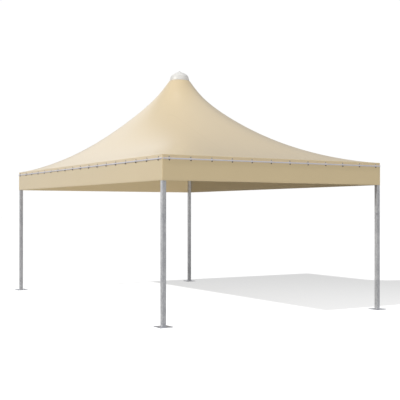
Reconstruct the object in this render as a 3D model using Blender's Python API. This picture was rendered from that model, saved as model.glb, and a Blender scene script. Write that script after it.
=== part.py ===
"""Pagoda gazebo tent, 6 m by 4 m: a curved cover over four square posts, with its crown on a
mast that stands on four crossing stay cables at eave height.

Metres, +Z up. The origin is on the ground under the crown, X runs along the 6 m side and the
front is at -Y.
"""

import math

import bmesh
import bpy
from mathutils import Matrix, Vector

for old in list(bpy.data.objects):
    bpy.data.objects.remove(old, do_unlink=True)

# Overall sizes
half_length = 3.0
half_width = 2.0
valance_bottom = 2.0
eave_height = 2.357
crown_height = 3.955
cap_height = 0.151

# Clearance between pieces that touch
gap = 0.0003

# Cloth
cloth_thickness = 0.003
cloth_corner = 0.0065
skirt_bottom = 2.3045
crown_radius = 0.170

# Frame
post_side = 0.060
post_wall = 0.003
post_corner = 0.0035
beam_side = 0.060
beam_wall = 0.002
beam_corner = 0.005
plate_side = 0.200
plate_thickness = 0.008
anchor_hole_radius = 0.007
anchor_hole_offset = 0.075

# Eave rail and its clips
rail_height = 0.020
rail_depth = 0.014
rail_centre = 2.303
clip_width = 0.0175
long_side_clips = 18
short_side_clips = 12
clip_end_distance = 0.105

# Mast, stays and crown
mast_radius = 0.030
mast_wall = 0.003
foot_height = 2.150
foot_radius = 0.100
lug_thickness = 0.008
pin_radius = 0.006
pin_hole_radius = 0.0065
stay_pin_radius = 0.082
cable_radius = 0.004
turnbuckle_length = 0.235
ring_thickness = 0.006
ring_height = 0.040
spigot_length = 0.060

# Worked out from the sizes above
frame_x = half_length - cloth_thickness - gap
frame_y = half_width - cloth_thickness - gap
post_x = frame_x - post_side / 2
post_y = frame_y - post_side / 2
frame_top = eave_height - 0.0043
beam_bottom = frame_top - beam_side
foot_top = foot_height + lug_thickness
neck_slope = math.radians(62)
crown_inner = crown_radius - cloth_thickness * math.sin(neck_slope)
ring_radius = crown_inner - 2 * gap
ring_top = crown_height - cloth_thickness * math.cos(neck_slope) - gap
corners = {
    "front_left": (-1, -1),
    "front_right": (1, -1),
    "back_left": (-1, 1),
    "back_right": (1, 1),
}


def material(name, colour, roughness, metallic=0.0):
    made = bpy.data.materials.new(name)
    made.use_nodes = True
    shader = made.node_tree.nodes["Principled BSDF"]
    shader.inputs["Base Color"].default_value = (*colour, 1.0)
    shader.inputs["Roughness"].default_value = roughness
    shader.inputs["Metallic"].default_value = metallic
    return made


cover_cloth = material("beige_pvc_cover", (0.72, 0.62, 0.46), 0.42)
valance_cloth = material("beige_pvc_valance", (0.64, 0.54, 0.37), 0.45)
galvanised = material("galvanised_steel", (0.38, 0.40, 0.42), 0.45, 0.9)
rail_metal = material("pale_aluminium", (0.62, 0.62, 0.64), 0.35, 0.9)
cap_plastic = material("white_cap", (0.80, 0.79, 0.76), 0.40)
cable_steel = material("steel_cable", (0.45, 0.46, 0.47), 0.35, 0.95)


def finish(name, mesh, finish_material, smooth_angle=35):
    """Make the named object, with its flat faces flat and its round ones smooth."""
    mesh.shade_smooth()
    mesh.set_sharp_from_angle(angle=math.radians(smooth_angle))
    mesh.materials.append(finish_material)
    made = bpy.data.objects.new(name, mesh)
    bpy.context.scene.collection.objects.link(made)
    return made


def mesh_from(shape, name):
    bmesh.ops.recalc_face_normals(shape, faces=shape.faces[:])
    mesh = bpy.data.meshes.new(name)
    shape.to_mesh(mesh)
    shape.free()
    return mesh


def extruded(outline, low, high, name="prism"):
    """Mesh of a flat outline in X and Y, extruded from low to high."""
    shape = bmesh.new()
    base = shape.faces.new([shape.verts.new((x, y, low)) for x, y in outline])
    pushed = bmesh.ops.extrude_face_region(shape, geom=[base])
    moved = [v for v in pushed["geom"] if isinstance(v, bmesh.types.BMVert)]
    bmesh.ops.translate(shape, verts=moved, vec=(0, 0, high - low))
    return mesh_from(shape, name)


def turned(profile, steps, name="turned"):
    """Mesh of a profile of (radius, height) points turned round Z. Points on the axis close it."""
    shape = bmesh.new()
    points = [shape.verts.new((radius, 0, height)) for radius, height in profile]
    on_axis = profile[0][0] == 0 and profile[-1][0] == 0
    pairs = list(zip(points, points[1:]))
    if not on_axis:
        pairs.append((points[-1], points[0]))
    edges = [shape.edges.new(pair) for pair in pairs]
    bmesh.ops.spin(shape, geom=points + edges, cent=(0, 0, 0), axis=(0, 0, 1), dvec=(0, 0, 0),
                   angle=math.tau, steps=steps, use_merge=True, use_duplicate=False)
    bmesh.ops.remove_doubles(shape, verts=shape.verts[:], dist=1e-6)
    return mesh_from(shape, name)


def block(low, high, name="block"):
    return extruded([(low[0], low[1]), (high[0], low[1]), (high[0], high[1]), (low[0], high[1])],
                    low[2], high[2], name)


def cylinder(radius, low, high, steps=16, centre=(0, 0), name="cylinder"):
    mesh = turned([(0, high), (radius, high), (radius, low), (0, low)], steps, name)
    mesh.transform(Matrix.Translation((centre[0], centre[1], 0)))
    return mesh


def combined(base, *operations):
    """Mesh of base after each (operation, mesh) is applied to it in turn."""
    target = bpy.data.objects.new("target", base)
    bpy.context.scene.collection.objects.link(target)
    helpers = []
    for operation, tool_mesh in operations:
        tool = bpy.data.objects.new("tool", tool_mesh)
        bpy.context.scene.collection.objects.link(tool)
        helpers.append(tool)
        cut = target.modifiers.new("cut", "BOOLEAN")
        cut.operation = operation
        cut.solver = "EXACT"
        cut.object = tool
    graph = bpy.context.evaluated_depsgraph_get()
    made = bpy.data.meshes.new_from_object(target.evaluated_get(graph))
    for helper in [target, *helpers]:
        bpy.data.objects.remove(helper, do_unlink=True)
    return made


def joined(meshes, name="group"):
    """One mesh of several that don't touch."""
    shape = bmesh.new()
    for mesh in meshes:
        shape.from_mesh(mesh)
    return mesh_from(shape, name)


def rounded_rectangle(half_x, half_y, corner, segments=4):
    """Outline points, anticlockwise from the right side's front corner."""
    points = []
    for turn, (sign_x, sign_y) in enumerate([(1, 1), (-1, 1), (-1, -1), (1, -1)]):
        centre = (sign_x * (half_x - corner), sign_y * (half_y - corner))
        for step in range(segments + 1):
            angle = math.pi / 2 * (turn + step / segments)
            points.append((centre[0] + corner * math.cos(angle),
                           centre[1] + corner * math.sin(angle)))
    return points


def square_tube(side, wall, corner, length, name):
    """Mesh of a hollow square tube, open at both ends, from 0 to length on Z."""
    shape = bmesh.new()
    loops = []
    for half, radius in ((side / 2, corner), (side / 2 - wall, max(corner - wall, 0.001))):
        for height in (0.0, length):
            outline = rounded_rectangle(half, half, radius, 3)
            loops.append([shape.verts.new((x, y, height)) for x, y in outline])
    outer_low, outer_high, inner_low, inner_high = loops
    for first, second in ((outer_low, outer_high), (outer_high, inner_high),
                          (inner_high, inner_low), (inner_low, outer_low)):
        count = len(first)
        for i in range(count):
            j = (i + 1) % count
            shape.faces.new((first[i], first[j], second[j], second[i]))
    return mesh_from(shape, name)


# Base plates, each with four anchor holes

def make_base_plate():
    half = plate_side / 2
    holes = [cylinder(anchor_hole_radius, -plate_thickness, 2 * plate_thickness, 12,
                      (x * anchor_hole_offset, y * anchor_hole_offset))
             for x in (-1, 1) for y in (-1, 1)]
    return combined(block((-half, -half, 0), (half, half, plate_thickness)),
                    ("DIFFERENCE", joined(holes)))


for corner_name, (side_x, side_y) in corners.items():
    plate = finish("base_plate_" + corner_name, make_base_plate(), galvanised)
    plate.location = (side_x * post_x, side_y * post_y, 0)

# Posts, open square tubes that stand on their plates

post_foot = plate_thickness + gap
for corner_name, (side_x, side_y) in corners.items():
    tube = square_tube(post_side, post_wall, post_corner, frame_top - post_foot, "post")
    post = finish("post_" + corner_name, tube, galvanised)
    post.location = (side_x * post_x, side_y * post_y, post_foot)

# Eave beams, square tubes between the posts with their tops under the cover's edge

beam_centre = (beam_bottom + frame_top) / 2
long_beam = 2 * (post_x - post_side / 2 - gap)
short_beam = 2 * (post_y - post_side / 2 - gap)
for beam_name, length, turn, place in (
    ("front", long_beam, Matrix.Rotation(math.pi / 2, 4, "Y"), (0, -post_y)),
    ("back", long_beam, Matrix.Rotation(math.pi / 2, 4, "Y"), (0, post_y)),
    ("left", short_beam, Matrix.Rotation(-math.pi / 2, 4, "X"), (-post_x, 0)),
    ("right", short_beam, Matrix.Rotation(-math.pi / 2, 4, "X"), (post_x, 0)),
):
    tube = square_tube(beam_side, beam_wall, beam_corner, length, "beam")
    tube.transform(turn @ Matrix.Translation((0, 0, -length / 2)))
    beam = finish("eave_beam_" + beam_name, tube, galvanised)
    beam.location = (*place, beam_centre)

# Corner brackets, gusset plates between the beams with a lug that points at the mast

bracket_bottom = beam_centre - lug_thickness / 2
bracket_top = beam_centre + lug_thickness / 2
inner_x = post_x - post_side / 2
inner_y = post_y - post_side / 2
gusset_reach = 0.176
lug_distance = 0.143
lug_half_width = 0.018


def make_corner_bracket(side_x, side_y):
    """Gusset plate in a corner, its lug aimed at the centre, and the lug hole's place."""
    inward = Vector((-side_x * inner_x, -side_y * inner_y, 0)).normalized()
    corner = Vector((side_x * inner_x, side_y * inner_y, 0))
    hole = corner + inward * lug_distance
    outline = [(gap, gap), (gusset_reach, gap), (gap, gusset_reach)]
    placed = [(corner.x - side_x * u, corner.y - side_y * v) for u, v in outline]
    across = Vector((-inward.y, inward.x, 0)) * lug_half_width
    root = corner + inward * (lug_distance / 2)
    lug = [root - across, hole - across, hole + across, root + across]
    mesh = combined(
        extruded(placed, bracket_bottom, bracket_top),
        ("UNION", extruded([(p.x, p.y) for p in lug], bracket_bottom, bracket_top)),
        ("UNION", cylinder(lug_half_width, bracket_bottom, bracket_top, 16, (hole.x, hole.y))),
        ("DIFFERENCE", cylinder(pin_hole_radius, bracket_bottom - 0.01, bracket_top + 0.01, 12,
                                (hole.x, hole.y))),
    )
    return mesh, Vector((hole.x, hole.y, beam_centre))


lug_pins = {}
for corner_name, (side_x, side_y) in corners.items():
    mesh, lug_pins[corner_name] = make_corner_bracket(side_x, side_y)
    finish("corner_bracket_" + corner_name, mesh, galvanised)

# Mast foot, a disc with four pin holes and a spigot that the mast stands on

foot_pins = {}
foot_holes = []
for corner_name, pin in lug_pins.items():
    towards = Vector((pin.x, pin.y, 0)).normalized() * stay_pin_radius
    foot_pins[corner_name] = Vector((towards.x, towards.y, foot_height + lug_thickness / 2))
    foot_holes.append(cylinder(pin_hole_radius, foot_height - 0.01, foot_top + 0.01, 12,
                               (towards.x, towards.y)))
spigot_radius = mast_radius - mast_wall - 2 * gap
foot_profile = [(0, foot_top + spigot_length), (spigot_radius, foot_top + spigot_length),
                (spigot_radius, foot_top), (foot_radius, foot_top), (foot_radius, foot_height),
                (0, foot_height)]
foot_mesh = combined(turned(foot_profile, 32), ("DIFFERENCE", joined(foot_holes)))
finish("mast_foot", foot_mesh, galvanised)

# Mast tube

hub_radius = 0.038
hub_top = ring_top - 0.005
hub_bottom = ring_top - 0.060
mast_bottom = foot_top + gap
mast_top = hub_bottom - gap
mast_profile = [(mast_radius, mast_top), (mast_radius, mast_bottom),
                (mast_radius - mast_wall, mast_bottom), (mast_radius - mast_wall, mast_top)]
finish("mast", turned(mast_profile, 24), galvanised)

# Crown ring, a flat bar ring on four spokes round a hub with a spigot in the mast

ring_bottom = ring_top - ring_height
ring_profile = [(ring_radius, ring_top), (ring_radius, ring_bottom),
                (ring_radius - ring_thickness, ring_bottom),
                (ring_radius - ring_thickness, ring_top)]
hub_profile = [(0, hub_top), (hub_radius, hub_top), (hub_radius, hub_bottom),
               (spigot_radius, hub_bottom), (spigot_radius, hub_bottom - spigot_length),
               (0, hub_bottom - spigot_length)]
spoke_reach = ring_radius - ring_thickness / 2
spoke_half = 0.004
spoke_top = ring_top - 0.006
spoke_bottom = ring_top - 0.036
ring_mesh = combined(
    turned(ring_profile, 32),
    ("UNION", block((-spoke_reach, -spoke_half, spoke_bottom),
                    (spoke_reach, spoke_half, spoke_top))),
    ("UNION", block((-spoke_half, -spoke_reach, spoke_bottom),
                    (spoke_half, spoke_reach, spoke_top))),
    ("UNION", turned(hub_profile, 16)),
)
finish("crown_ring", ring_mesh, galvanised)

# Crown cap, a thin dome that closes the cover's neck, and the nut on top of it

cap_radius = 0.1655
cap_wall = 0.003
cap_rim = ring_top + gap
cap_outer = [(0.0, 1.0), (0.30, 0.972), (0.60, 0.84), (0.85, 0.61), (0.97, 0.35), (1.0, 0.0)]
cap_profile = [(cap_radius * r, cap_rim + cap_height * h) for r, h in cap_outer]
cap_inner_radius = cap_radius - cap_wall
cap_inner_height = cap_height - cap_wall
cap_profile += [(cap_inner_radius * r, cap_rim + cap_inner_height * h)
                for r, h in reversed(cap_outer)]
finish("crown_cap", turned(cap_profile, 32), cap_plastic)

nut_radius = 0.014
nut_bottom = cap_rim + cap_height + gap
nut_height = 0.015
nut_shoulder = 0.009
nut_profile = [(0, nut_bottom + nut_height), (nut_radius, nut_bottom + nut_shoulder),
               (nut_radius, nut_bottom), (0, nut_bottom)]
finish("cap_finial", turned(nut_profile, 12), cap_plastic)

# Stay cables and their turnbuckles. Each end is a jaw: two cheeks on a lug, and its pin

jaw_half_width = 0.013
jaw_half_height = 0.0105
jaw_slot_half = 0.0053
jaw_throat = 0.022
jaw_back = 0.034
shank_start = 0.030
screw_radius = 0.006
lock_nut_radius = 0.0115
lock_nut_start = 0.068
lock_nut_end = 0.078
barrel_radius = 0.0125
barrel_start = 0.082
sleeve_radius = 0.007
sleeve_end = 0.095
swage_radius = 0.0065
swage_length = 0.060
taper = 0.004


def make_jaw():
    """Mesh of a jaw, its pin on Z through the origin and its shank towards +X."""
    cheeks = cylinder(jaw_half_width, -jaw_half_height, jaw_half_height, 12)
    body = block((0, -jaw_half_width, -jaw_half_height), (jaw_back, jaw_half_width, jaw_half_height))
    slot = block((-jaw_back, -jaw_back, -jaw_slot_half), (jaw_throat, jaw_back, jaw_slot_half))
    pin = cylinder(pin_radius, -jaw_half_height - 0.002, jaw_half_height + 0.002, 12)
    return combined(body, ("UNION", cheeks), ("DIFFERENCE", slot), ("UNION", pin))


def make_rod(profile, steps):
    """Mesh of a profile of (radius, distance) points turned round X."""
    rod = turned(profile, steps)
    rod.transform(Matrix.Rotation(math.pi / 2, 4, "Y"))
    return rod


def along(start, end):
    """Placement with its X axis from start towards end and its Z axis near upright."""
    axis = (end - start).normalized()
    across = Vector((0, 0, 1)).cross(axis).normalized()
    up = axis.cross(across)
    turn = Matrix((axis, across, up)).transposed().to_4x4()
    return Matrix.Translation(start) @ turn


for corner_name, lug_pin in lug_pins.items():
    foot_pin = foot_pins[corner_name]
    cable_length = (lug_pin - foot_pin).length - turnbuckle_length - gap

    screw = make_rod([(0, turnbuckle_length), (barrel_radius, turnbuckle_length),
                      (barrel_radius, barrel_start), (lock_nut_radius, lock_nut_end),
                      (lock_nut_radius, lock_nut_start), (screw_radius, lock_nut_start),
                      (screw_radius, shank_start), (0, shank_start)], 10)
    turnbuckle = finish("turnbuckle_" + corner_name, combined(make_jaw(), ("UNION", screw)),
                        cable_steel)
    turnbuckle.matrix_world = along(lug_pin, foot_pin)

    swage_start = cable_length - swage_length
    wire = make_rod([(0, cable_length), (swage_radius, cable_length), (swage_radius, swage_start),
                     (cable_radius, swage_start - taper), (cable_radius, sleeve_end + taper),
                     (sleeve_radius, sleeve_end), (sleeve_radius, shank_start),
                     (0, shank_start)], 8)
    stay = finish("stay_cable_" + corner_name, combined(make_jaw(), ("UNION", wire)), cable_steel)
    stay.matrix_world = along(foot_pin, lug_pin)

# Valance, a hanging band: flat on the long sides, and round the corners on the short sides

valance_top = skirt_bottom - gap
arc_x = half_length - cloth_corner
arc_y = half_width - cloth_corner


def side_path(offset, sign, segments=4):
    """Points down a short side's face, offset outwards, with a quarter turn at each end."""
    points = []
    radius = cloth_corner + offset
    for side_y in (-1, 1):
        for step in range(segments + 1):
            angle = math.pi / 2 * (step / segments)
            if side_y < 0:
                x, y = math.sin(angle), -math.cos(angle)
            else:
                x, y = math.cos(angle), math.sin(angle)
            points.append((Vector((sign * (arc_x + radius * x), side_y * arc_y + radius * y, 0)),
                           Vector((sign * x, y, 0))))
    return points


def side_band(inner_offset, outer_offset, sign):
    outer = [(p.x, p.y) for p, _ in side_path(outer_offset, sign)]
    inner = [(p.x, p.y) for p, _ in side_path(inner_offset, sign)]
    return outer + inner[::-1]


for side_name, sign in (("front", -1), ("back", 1)):
    reach = arc_x - gap / 2
    low_y, high_y = sorted((sign * half_width, sign * (half_width - cloth_thickness)))
    band = block((-reach, low_y, valance_bottom), (reach, high_y, valance_top))
    finish("valance_" + side_name, band, valance_cloth)
for side_name, sign in (("left", -1), ("right", 1)):
    band = extruded(side_band(-cloth_thickness, 0.0, sign), valance_bottom, valance_top)
    finish("valance_" + side_name, band, valance_cloth)

# Eave rail, a half-round bar outside the seam of cover and valance, with its saddle clips

half_rail = rail_height / 2
rail_section = [(0.0, -half_rail), (0.4 * rail_depth, -half_rail),
                (0.82 * rail_depth, -0.65 * half_rail), (rail_depth, 0.0),
                (0.82 * rail_depth, 0.65 * half_rail), (0.4 * rail_depth, half_rail),
                (0.0, half_rail)]
clip_section = [(0.0, -0.030), (0.011, -0.030), (0.0155, -0.006), (0.0155, 0.006),
                (0.004, 0.012), (0.004, 0.034), (0.0, 0.034)]


def swept(section, stations):
    """Mesh of a (depth, height) section set at each (point, outward direction) station."""
    shape = bmesh.new()
    loops = []
    for point, outward in stations:
        loop = [shape.verts.new(point + outward * depth + Vector((0, 0, rail_centre + height)))
                for depth, height in section]
        loops.append(loop)
    for first, second in zip(loops, loops[1:]):
        for i in range(len(section)):
            j = (i + 1) % len(section)
            shape.faces.new((first[i], first[j], second[j], second[i]))
    shape.faces.new(loops[0])
    shape.faces.new(loops[-1][::-1])
    return mesh_from(shape, "swept")


def clips_on(point_at, outward, along_side, half_side, count):
    """Meshes of a side's clips, evenly spaced between its ends."""
    reach = half_side - clip_end_distance
    half_clip = along_side * (clip_width / 2)
    made = []
    for i in range(count):
        middle = point_at + along_side * (reach * (2 * i / (count - 1) - 1))
        made.append(swept(clip_section, [(middle - half_clip, outward),
                                         (middle + half_clip, outward)]))
    return made


for side_name, sign in (("front", -1), ("back", 1)):
    face = Vector((0, sign * (half_width + gap), 0))
    outward = Vector((0, sign, 0))
    lengthwise = Vector((1, 0, 0))
    reach = lengthwise * (arc_x - gap / 2)
    bar = swept(rail_section, [(face - reach, outward), (face + reach, outward)])
    clips = clips_on(face, outward, lengthwise, half_length, long_side_clips)
    finish("eave_rail_" + side_name, combined(bar, ("UNION", joined(clips))), rail_metal)
for side_name, sign in (("left", -1), ("right", 1)):
    face = Vector((sign * (half_length + gap), 0, 0))
    outward = Vector((sign, 0, 0))
    bar = swept(rail_section, side_path(gap, sign))
    clips = clips_on(face, outward, Vector((0, 1, 0)), half_width, short_side_clips)
    finish("eave_rail_" + side_name, combined(bar, ("UNION", joined(clips))), rail_metal)

# Cover, four gores of one curved sheet. From crown to eave the plan changes from a circle to the
# tent's rectangle, and the height falls steeply at the neck and then evenly

ring_shares = [0, 0.02, 0.06, 0.12, 0.20, 0.30, 0.42, 0.56, 0.70, 0.82, 0.91, 0.97, 1.0]
columns_per_half = 6


def cover_shape(share):
    """Half sizes, squareness exponent and height of the cover at a share of its way down."""
    rest = 1 - share
    half_x = crown_radius + (half_length - crown_radius) * share
    half_y = crown_radius + (half_width - crown_radius) * share ** 0.788
    square = 2 + 1.85 * (max(rest, 1e-6) ** -0.56 - 1)
    fall = 0.455 * rest + 0.4215 * rest ** 2 + 0.1235 * rest ** 16
    return half_x, half_y, square, eave_height + (crown_height - eave_height) * fall


def slope_at(share):
    """Angle of the sheet below level, halfway between its long and short sides."""
    step = 1e-4
    first = cover_shape(max(share - step, 0))
    second = cover_shape(min(share + step, 1))
    outwards = (second[0] - first[0] + second[1] - first[1]) / 2
    return math.atan2(first[3] - second[3], outwards)


def superellipse(angle, half_x, half_y, square):
    """Distance from the axis to a superellipse at a polar angle."""
    across = abs(math.cos(angle)) / half_x
    up = abs(math.sin(angle)) / half_y
    largest = max(across, up)
    total = (across / largest) ** square + (up / largest) ** square
    return 1 / (largest * total ** (1 / square))


def rounded_side(angle, half_x, half_y, corner):
    """Distance from the axis to a rectangle with round corners at a polar angle."""
    x, y = abs(math.cos(angle)), abs(math.sin(angle))
    reach = min(half_x / max(x, 1e-9), half_y / max(y, 1e-9))
    arc = Vector((half_x - corner, half_y - corner))
    if reach * x > arc.x and reach * y > arc.y:
        nearest = arc.x * x + arc.y * y
        reach = nearest + math.sqrt(nearest ** 2 - arc.length_squared + corner ** 2)
    return reach


def eave_angles(half_along, half_across):
    """Polar angles of a side's columns at the eave, from its middle out to the hip."""
    angles = []
    for i in range(columns_per_half + 1):
        share = 1 - i / columns_per_half
        along_side = (half_along - cloth_corner) * (1 - share ** 1.8)
        angles.append(math.atan2(along_side, half_across))
    for turn in (math.pi / 8, math.pi / 4):
        angles.append(math.atan2(half_along - cloth_corner * (1 - math.sin(turn)),
                                 half_across - cloth_corner * (1 - math.cos(turn))))
    return angles


def column_angles(half_along, half_across, share):
    """Polar angles about a side's middle, at a share of the way down."""
    at_eave = eave_angles(half_along, half_across)
    crown_step = math.pi / 4 / (len(at_eave) - 1)
    halves = [at * share + crown_step * i * (1 - share) for i, at in enumerate(at_eave)]
    return [-angle for angle in reversed(halves[1:])] + halves


def cover_rings(half_along, half_across, facing):
    """Outer and inner points of each ring of one gore, whose middle is at the angle facing."""
    rings = []
    stations = [(share, cover_shape(share)[3]) for share in ring_shares]
    stations.append((1.0, skirt_bottom))
    for index, (share, level) in enumerate(stations):
        half_x, half_y, square, _ = cover_shape(share)
        slope = slope_at(share) if share > 0 else neck_slope
        skirt_edge = index == len(stations) - 1
        lean = cloth_thickness * (1 if share == 1 else math.sin(slope))
        drop = 0 if skirt_edge else cloth_thickness * math.cos(slope)
        angles = column_angles(half_along, half_across, share)
        for offset, fall in ((0, 0), (lean, drop)):
            points = []
            for number, local_angle in enumerate(angles):
                angle = facing + local_angle
                if share == 1:
                    reach = rounded_side(angle, half_x - offset, half_y - offset,
                                         cloth_corner - offset)
                else:
                    reach = superellipse(angle, half_x - offset, half_y - offset, square)
                if number in (0, len(angles) - 1):
                    angle -= math.copysign(0.7 * gap / reach, local_angle)
                points.append((reach * math.cos(angle), reach * math.sin(angle), level - fall))
            rings.append(points)
    return rings[0::2], rings[1::2]


def make_gore(half_along, half_across, facing):
    outer, inner = cover_rings(half_along, half_across, facing)
    shape = bmesh.new()
    loops = [[shape.verts.new(point) for point in ring] for ring in outer + inner[::-1]]
    loops.append(loops[0])
    for first, second in zip(loops, loops[1:]):
        for i in range(len(first) - 1):
            shape.faces.new((first[i], first[i + 1], second[i + 1], second[i]))
    rows = len(outer)
    for end in (0, -1):
        for i in range(rows - 1):
            far = 2 * rows - 1 - i
            shape.faces.new((loops[i][end], loops[i + 1][end], loops[far - 1][end],
                             loops[far][end]))
    return mesh_from(shape, "gore")


for side_name, half_along, half_across, facing in (
    ("front", half_length, half_width, -math.pi / 2),
    ("right", half_width, half_length, 0.0),
    ("back", half_length, half_width, math.pi / 2),
    ("left", half_width, half_length, math.pi),
):
    finish("roof_cover_" + side_name, make_gore(half_along, half_across, facing), cover_cloth, 50)
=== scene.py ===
import math

import bpy
from mathutils import Matrix, Vector


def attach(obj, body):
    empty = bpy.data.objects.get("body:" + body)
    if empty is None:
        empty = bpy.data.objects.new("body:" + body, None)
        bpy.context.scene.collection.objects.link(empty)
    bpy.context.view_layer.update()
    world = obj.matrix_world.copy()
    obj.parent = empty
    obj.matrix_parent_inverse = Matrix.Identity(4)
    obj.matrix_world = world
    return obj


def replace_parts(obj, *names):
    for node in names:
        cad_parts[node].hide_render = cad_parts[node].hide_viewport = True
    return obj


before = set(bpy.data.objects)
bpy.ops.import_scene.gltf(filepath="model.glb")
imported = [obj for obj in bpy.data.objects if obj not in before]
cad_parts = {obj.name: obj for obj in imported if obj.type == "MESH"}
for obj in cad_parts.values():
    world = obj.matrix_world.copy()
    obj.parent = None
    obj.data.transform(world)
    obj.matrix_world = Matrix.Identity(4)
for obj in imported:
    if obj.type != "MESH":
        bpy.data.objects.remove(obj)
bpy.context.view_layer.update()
scene = bpy.context.scene
scene.view_settings.view_transform = "Standard"
print("frame loaded")

# Camera, at the place the photo was taken from

cameraPlan = {
    "place": (12.450, -7.181, 1.584),
    "heading": 60,  # degrees, turned from straight on towards the right side
    "lens": 71.4,
    "sensor": 36,
    "shift": (0.0504, 0.0273),
    "farthest": 500,
}
bpy.ops.object.camera_add(location=cameraPlan["place"],
                          rotation=(math.pi / 2, 0, math.radians(cameraPlan["heading"])))
camera = bpy.context.object
camera.name = "photoCamera"
camera.data.lens = cameraPlan["lens"]
camera.data.sensor_width = cameraPlan["sensor"]
camera.data.shift_x, camera.data.shift_y = cameraPlan["shift"]
camera.data.clip_end = cameraPlan["farthest"]
scene.camera = camera


# Node graphs: a Link is a socket that takes part in sums, a Graph adds nodes to one material

class Link:
    def __init__(self, graph, socket):
        self.graph = graph
        self.socket = socket

    def maths(self, operation, first, second=0.0):
        return self.graph.node("ShaderNodeMath", {"operation": operation}, {0: first, 1: second})

    def __add__(self, other):
        return self.maths("ADD", self, other)

    def __sub__(self, other):
        return self.maths("SUBTRACT", self, other)

    def __rsub__(self, other):
        return self.maths("SUBTRACT", other, self)

    def __mul__(self, other):
        return self.maths("MULTIPLY", self, other)

    def sine(self):
        return self.maths("SINE", self)

    def wrapped(self, period):
        return self.maths("PINGPONG", self, period)

    def clipped(self):
        return self.graph.node("ShaderNodeClamp", {}, {0: self})

    def band(self, start, end):
        return self.graph.node("ShaderNodeMapRange", {"interpolation_type": "SMOOTHSTEP"},
                               {"Value": self, "From Min": start, "From Max": end})

    __radd__ = __add__
    __rmul__ = __mul__


class Graph:
    def __init__(self, owner, shaderName="Principled BSDF"):
        owner.use_nodes = True
        self.owner = owner
        self.tree = owner.node_tree
        self.shader = self.tree.nodes[shaderName]

    def node(self, kind, settings, inputs, output=0):
        made = self.tree.nodes.new(kind)
        for key, value in settings.items():
            setattr(made, key, value)
        for key, value in inputs.items():
            self.feed(made.inputs[key], value)
        return Link(self, made.outputs[output])

    def feed(self, socket, value):
        if isinstance(value, Link):
            self.tree.links.new(value.socket, socket)
        elif socket.type == "RGBA" and len(value) == 3:
            socket.default_value = (*value, 1.0)
        else:
            socket.default_value = value

    def place(self, scale=(1, 1, 1)):
        coordinates = self.node("ShaderNodeTexCoord", {}, {}, "Object")
        return self.node("ShaderNodeMapping", {}, {"Vector": coordinates, "Scale": scale})

    def noise(self, vector, scale, detail, roughness):
        return self.node("ShaderNodeTexNoise", {}, {"Vector": vector, "Scale": scale,
                                                    "Detail": detail, "Roughness": roughness})

    def mixed(self, factor, first, second):
        return self.node("ShaderNodeMix", {"data_type": "RGBA"}, {0: factor, 6: first, 7: second},
                         2)

    def reaching(self, vector, direction):
        # How far a vector reaches in a direction
        return self.node("ShaderNodeVectorMath", {"operation": "DOT_PRODUCT"},
                         {0: vector, 1: direction}, 1)

    def seenByCamera(self):
        return self.node("ShaderNodeLightPath", {}, {}, "Is Camera Ray")

    def bumped(self, height, distance, strength, below=None):
        inputs = {"Height": height, "Distance": distance, "Strength": strength}
        if below:
            inputs["Normal"] = below
        return self.node("ShaderNodeBump", {}, inputs)

    def finish(self, **inputs):
        names = {"colour": "Base Color", "roughness": "Roughness", "metallic": "Metallic",
                 "coat": "Coat Weight", "coatRoughness": "Coat Roughness", "normal": "Normal",
                 "specular": "Specular IOR Level"}
        for key, value in inputs.items():
            self.feed(self.shader.inputs[names[key]], value)
        return self.owner


def shaded(colour, share):
    return tuple(part * share for part in colour)


# In the finishes, a noise is its scale, detail and roughness, and a bump its depth and strength.
# A Tone or Roughness entry is how much a pattern changes the colour or the roughness

# Coated cloth: satin PVC with its base weave just showing, welded seams and faint unevenness

clothFinish = {
    "thickness": 0.0007,
    "cover": (0.77, 0.622, 0.392),
    "valance": (0.77, 0.62, 0.372),
    "lighter": 1.06,
    "darker": 0.93,
    "contrast": 3.0,
    "roughness": 0.46,
    "coat": 1.0,
    "coatRoughness": 0.28,
    "clouds": (0.9, 4.0, 0.55),
    "cloudTone": 0.10,
    "grain": (14.0, 5.0, 0.6),
    "grainTone": 0.035,
    "grainRoughness": 0.10,
    "grainBump": (0.0008, 0.35),
    "weavePitch": 0.0016,
    "weaveBump": (0.00006, 0.35),
    "seamColour": (0.50, 0.40, 0.26),
    "seamTone": 0.05,
    "seamRoughness": 0.04,
    "seamBump": (0.0006, 0.5),
    "seamDistance": 0.70,  # along the eave
    "seamEdge": (0.012, 0.016),  # where a seam fades out, from its middle
    "hemLower": (0.003, 0.006),  # where the hem's weld fades in and out, from the lower edge
    "hemUpper": (0.030, 0.034),
}


def coatedCloth(name, colour, seams):
    plan = clothFinish
    graph = Graph(bpy.data.materials.new(name))
    sheet = graph.node("ShaderNodeUVMap", {"uv_map": "clothMap"}, {})
    along = graph.node("ShaderNodeSeparateXYZ", {}, {0: sheet})
    down = Link(graph, along.socket.node.outputs[1])
    space = graph.place()
    clouds = graph.noise(space, *plan["clouds"])
    grain = graph.noise(space, *plan["grain"])
    period = math.tau / plan["weavePitch"]
    weave = (along * period).sine() * (down * period).sine()
    tone = (clouds - 0.5) * plan["cloudTone"] + (grain - 0.5) * plan["grainTone"]
    base = graph.mixed((tone * plan["contrast"] + 0.5).clipped(),
                       shaded(colour, plan["darker"]), shaded(colour, plan["lighter"]))
    seam = seams(along, down)
    base = graph.mixed(seam * plan["seamTone"], base, plan["seamColour"])
    rough = (grain - 0.5) * plan["grainRoughness"] + plan["roughness"]
    rough = rough + seam * plan["seamRoughness"]
    surface = graph.bumped(weave, *plan["weaveBump"])
    surface = graph.bumped(seam, *plan["seamBump"], surface)
    surface = graph.bumped(grain, *plan["grainBump"], surface)
    return graph.finish(colour=base, roughness=rough, normal=surface, coat=plan["coat"],
                        coatRoughness=plan["coatRoughness"])


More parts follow.
